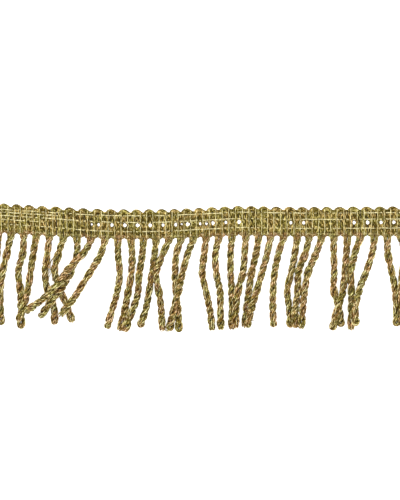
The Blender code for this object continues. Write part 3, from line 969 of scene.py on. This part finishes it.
def trim_material(name):
    """One of the trim's materials, made when it is first asked for."""
    if name in bpy.data.materials:
        return bpy.data.materials[name]
    colours = bpy.context.scene.trim_colours
    warm, cool = Vector(colours.warm), Vector(colours.cool)
    calm = [tuple(warm.lerp(cool, CALMER)), tuple(cool.lerp(warm, CALMER))]
    shadow, middle, thread = tuple(colours.shadow), tuple(colours.middle), tuple(colours.thread)
    cord = [tuple(colours.cord_shadow), tuple(colours.cord_middle), tuple(colours.cord_pale)]
    tints = {
        "gold_cord": [*cord, tuple(warm), tuple(cool)],
        # The heading's yarn is the cords' yarn in darker colours: painted shade against the light that
        # the flat heading catches
        "gold_heading": [shadow, middle, tuple(colours.pale), *calm],
        "pale_thread": [middle, thread, thread, (1.0, 1.0, 1.0), (1.0, 1.0, 1.0)],
        "ground_cloth": [tuple(CLOTH_SHADE * v for v in shadow), shadow, middle, *calm],
    }
    return yarn_material(name, tints[name], *FINISHES[name])


def dress(piece, node_slot, *nodes):
    """What every piece of the trim has: its body, and the solids that it stands for, which are hidden.
    Its node_slot is not used.
    """
    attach(piece, "root")
    if nodes:
        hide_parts(*nodes)


class TRIM_OT_cords(bpy.types.Operator):
    """Make the twisted cords, each of two plies of fine yarns with a looped end"""

    bl_idname = "trim.cords"
    bl_label = "Cords"

    def execute(self, context):
        rng = random.Random(context.scene.trim_sizes.seed)
        routes = cord_routes()
        material = trim_material("gold_cord")
        for number, first in enumerate(range(0, len(CORDS), CORDS_A_PIECE), start=1):
            paths = []
            for k in range(first, min(first + CORDS_A_PIECE, len(CORDS))):
                paths += cord_yarns(k, routes[k], rng)
            # Each yarn's own tone, with painted shade near the cord's root
            tones = []
            for path in paths:
                own = rng.uniform(*CORD_TONES)
                tones.append([own - root_shade(point) for point in path])
            piece = tube_piece(
                f"cords_{number}", paths, context.scene.trim_sizes.yarn, material, tones
            )
            dress(piece, "cord_yarn", "fringe")
        return {"FINISHED"}


class TRIM_OT_legs(bpy.types.Operator):
    """Make the heading's legs, with the loops that join them over each gap"""

    bl_idname = "trim.legs"
    bl_label = "Legs and loops"

    def execute(self, context):
        rng = random.Random(context.scene.trim_sizes.seed + 1)
        paths = []
        for gap in range(len(CORDS) + 1):
            paths += gap_loops(gap, rng)
        paths += edge_yarns(rng)
        tones = [rng.uniform(*HEADING_TONES) for _ in paths]
        piece = tube_piece(
            "heading_legs", paths, context.scene.trim_sizes.yarn, trim_material("gold_heading"), tones
        )
        dress(piece, "heading_yarn", "heading")
        return {"FINISHED"}


class TRIM_OT_threads(bpy.types.Operator):
    """Make the fine pale threads: one on each leg's crest, and the rows of stitches"""

    bl_idname = "trim.threads"
    bl_label = "Fine threads"

    def execute(self, context):
        sizes = context.scene.trim_sizes
        rng = random.Random(sizes.seed + 2)
        routes = cord_routes()
        crests = [
            crest_thread(k, side, routes[k], rng) for k in range(len(CORDS)) for side in (-1, 1)
        ]
        tones = [rng.uniform(*HEADING_TONES) for _ in crests]
        piece = tube_piece(
            "crest_threads", crests, sizes.crest_thread, trim_material("pale_thread"), tones
        )
        dress(piece, "heading_yarn")
        rows = [stitch_row(row, strand) for row in range(len(THREAD_ROWS)) for strand in (0, 1)]
        piece = tube_piece(
            "stitch_rows", rows, sizes.stitch_thread, trim_material("pale_thread"),
            [ROW_TONE] * len(rows),
        )
        dress(piece, "heading_yarn")
        return {"FINISHED"}


class TRIM_OT_loose_yarns(bpy.types.Operator):
    """Make the few yarns that have come loose from the cords"""

    bl_idname = "trim.loose_yarns"
    bl_label = "Loose yarns"

    def execute(self, context):
        rng = random.Random(context.scene.trim_sizes.seed + 3)
        paths = []
        for knots in LOOSE_YARNS:
            for _ in range(2):
                aside = Vector(rng.uniform(-far, far) for far in LOOSE_SPREAD)
                points = [(Vector(knot) + aside * (1 + a)) * MM for a, knot in enumerate(knots)]
                paths.append(resample(eased_line(points), LOOSE_STEP))
        tones = [rng.uniform(*LOOSE_TONES) for _ in paths]
        sizes = context.scene.trim_sizes
        piece = tube_piece("loose_yarns", paths, sizes.loose_yarn, trim_material("gold_cord"), tones)
        dress(piece, "cord_yarn")
        return {"FINISHED"}


class TRIM_OT_ground(bpy.types.Operator):
    """Make the thin cloth behind the heading's legs, with its see-through holes"""

    bl_idname = "trim.ground"
    bl_label = "Ground cloth"

    def execute(self, context):
        sizes = context.scene.trim_sizes
        bpy.ops.object.select_all(action="DESELECT")
        bpy.ops.mesh.primitive_grid_add(
            x_subdivisions=len(CORDS) * GROUND_COLUMNS, y_subdivisions=GROUND_ROWS, size=1.0
        )
        ground = context.active_object
        ground.name = ground.data.name = "heading_ground"
        for vertex in ground.data.vertices:
            step = (vertex.co.x + 0.5) * (len(CORDS) - 2 * GROUND_MARGIN) + GROUND_MARGIN
            under_cord = math.sin(math.pi * step) ** 2
            lower = GROUND_END + GROUND_TONGUE * under_cord
            depth = GROUND_START + (lower - GROUND_START) * (0.5 - vertex.co.y)
            x = along(step)
            near_rim = max(0.0, 1.0 - depth / RIM_DEPTH)
            dip = RIM_SHARE * SCALLOP_DEPTH * under_cord * near_rim
            vertex.co = (x, scallop_top(x) - depth - dip, GROUND_HEIGHT)
        solid = ground.modifiers.new("thickness", "SOLIDIFY")
        solid.thickness = sizes.ground
        solid.offset = 1.0
        bpy.ops.object.modifier_apply(modifier="thickness")
        punches = []
        for holes, half in ((GAP_HOLES, 0.0), (CORD_HOLES, 0.5)):
            for number, size in holes.items():
                x = along(number + half) + HOLE_SHIFT
                bpy.ops.mesh.primitive_cylinder_add(
                    vertices=12, radius=size * MM * PUNCHED, depth=2 * MM,
                    location=(x, scallop_top(x) - HOLE_DEPTH, 0.0), scale=PUNCH_SCALE,
                )
                punches.append(context.active_object)
        bpy.ops.object.select_all(action="DESELECT")
        for punch in punches:
            punch.select_set(True)
        context.view_layer.objects.active = punches[0]
        bpy.ops.object.join()
        punch = context.active_object
        select_only(ground)
        cut = ground.modifiers.new("holes", "BOOLEAN")
        cut.operation = "DIFFERENCE"
        cut.solver = "EXACT"
        cut.object = punch
        bpy.ops.object.modifier_apply(modifier="holes")
        bpy.data.objects.remove(punch, do_unlink=True)
        ground.data.materials.clear()
        ground.data.materials.append(trim_material("ground_cloth"))
        dress(ground, "heading_yarn")
        return {"FINISHED"}


class TRIM_OT_stage(bpy.types.Operator):
    """Make the pale floor, the soft lights, the surroundings and the camera"""

    bl_idname = "trim.stage"
    bl_label = "Stage"

    def execute(self, context):
        scene = context.scene
        bpy.ops.object.select_all(action="DESELECT")
        bpy.ops.mesh.primitive_circle_add(vertices=64, radius=FLOOR_RADIUS, fill_type="NGON")
        floor = context.active_object
        floor.name = floor.data.name = "floor"
        material = bpy.data.materials.new("pale_floor")
        material.use_nodes = True
        shader = material.node_tree.nodes["Principled BSDF"]
        input_value(shader, "Base Color", (*scene.trim_colours.floor, 1.0))
        input_value(shader, "Roughness", 0.9)
        input_value(shader, "Emission Color", (1.0, 1.0, 1.0, 1.0))
        input_value(shader, "Emission Strength", FLOOR_GLOW)
        floor.data.materials.append(material)
        world = bpy.data.worlds.new("surroundings")
        world.use_nodes = True
        background = world.node_tree.nodes["Background"]
        input_value(background, "Color", (1.0, 1.0, 1.0, 1.0))
        input_value(background, "Strength", 1.0)
        scene.world = world
        for name, place, side, power in SOFTBOXES:
            bpy.ops.object.light_add(type="AREA", location=place)
            light = context.active_object
            light.name = name
            light.data.size = side
            light.data.energy = power
            light.rotation_euler = (-Vector(place)).to_track_quat("-Z", "Y").to_euler()
        camera = bpy.data.cameras.new("camera")
        camera.lens = LENS
        camera.sensor_width = SENSOR
        holder = bpy.data.objects.new("camera", camera)
        holder.location = (0.0, VIEW_CENTRE, VIEW_HEIGHT * LENS / SENSOR)
        scene.collection.objects.link(holder)
        scene.camera = holder
        scene.view_settings.view_transform = "Standard"
        return {"FINISHED"}


class TRIM_PT_panel(bpy.types.Panel):
    """The trim's pieces, sizes and colours"""

    bl_idname = "TRIM_PT_panel"
    bl_label = "Cord fringe trim"
    bl_space_type = "VIEW_3D"
    bl_region_type = "UI"
    bl_category = "Trim"

    def draw(self, context):
        layout = self.layout
        for group in (context.scene.trim_sizes, context.scene.trim_colours):
            for name in group.bl_rna.properties.keys():
                if name not in {"rna_type", "name"}:
                    layout.prop(group, name)
        for operator in OPERATORS:
            layout.operator(operator.bl_idname)


OPERATORS = (
    TRIM_OT_cords,
    TRIM_OT_legs,
    TRIM_OT_threads,
    TRIM_OT_loose_yarns,
    TRIM_OT_ground,
    TRIM_OT_stage,
)
CLASSES = (TrimSizes, TrimColours, *OPERATORS, TRIM_PT_panel)


def register():
    for item in CLASSES:
        bpy.utils.register_class(item)
    bpy.types.Scene.trim_sizes = PointerProperty(type=TrimSizes)
    bpy.types.Scene.trim_colours = PointerProperty(type=TrimColours)


def unregister():
    del bpy.types.Scene.trim_colours
    del bpy.types.Scene.trim_sizes
    for item in reversed(CLASSES):
        bpy.utils.unregister_class(item)


def main():
    register()
    bpy.ops.trim.stage()
    bpy.ops.trim.cords()
    bpy.ops.trim.legs()
    bpy.ops.trim.threads()
    bpy.ops.trim.loose_yarns()
    bpy.ops.trim.ground()


if __name__ == "__main__":
    main()
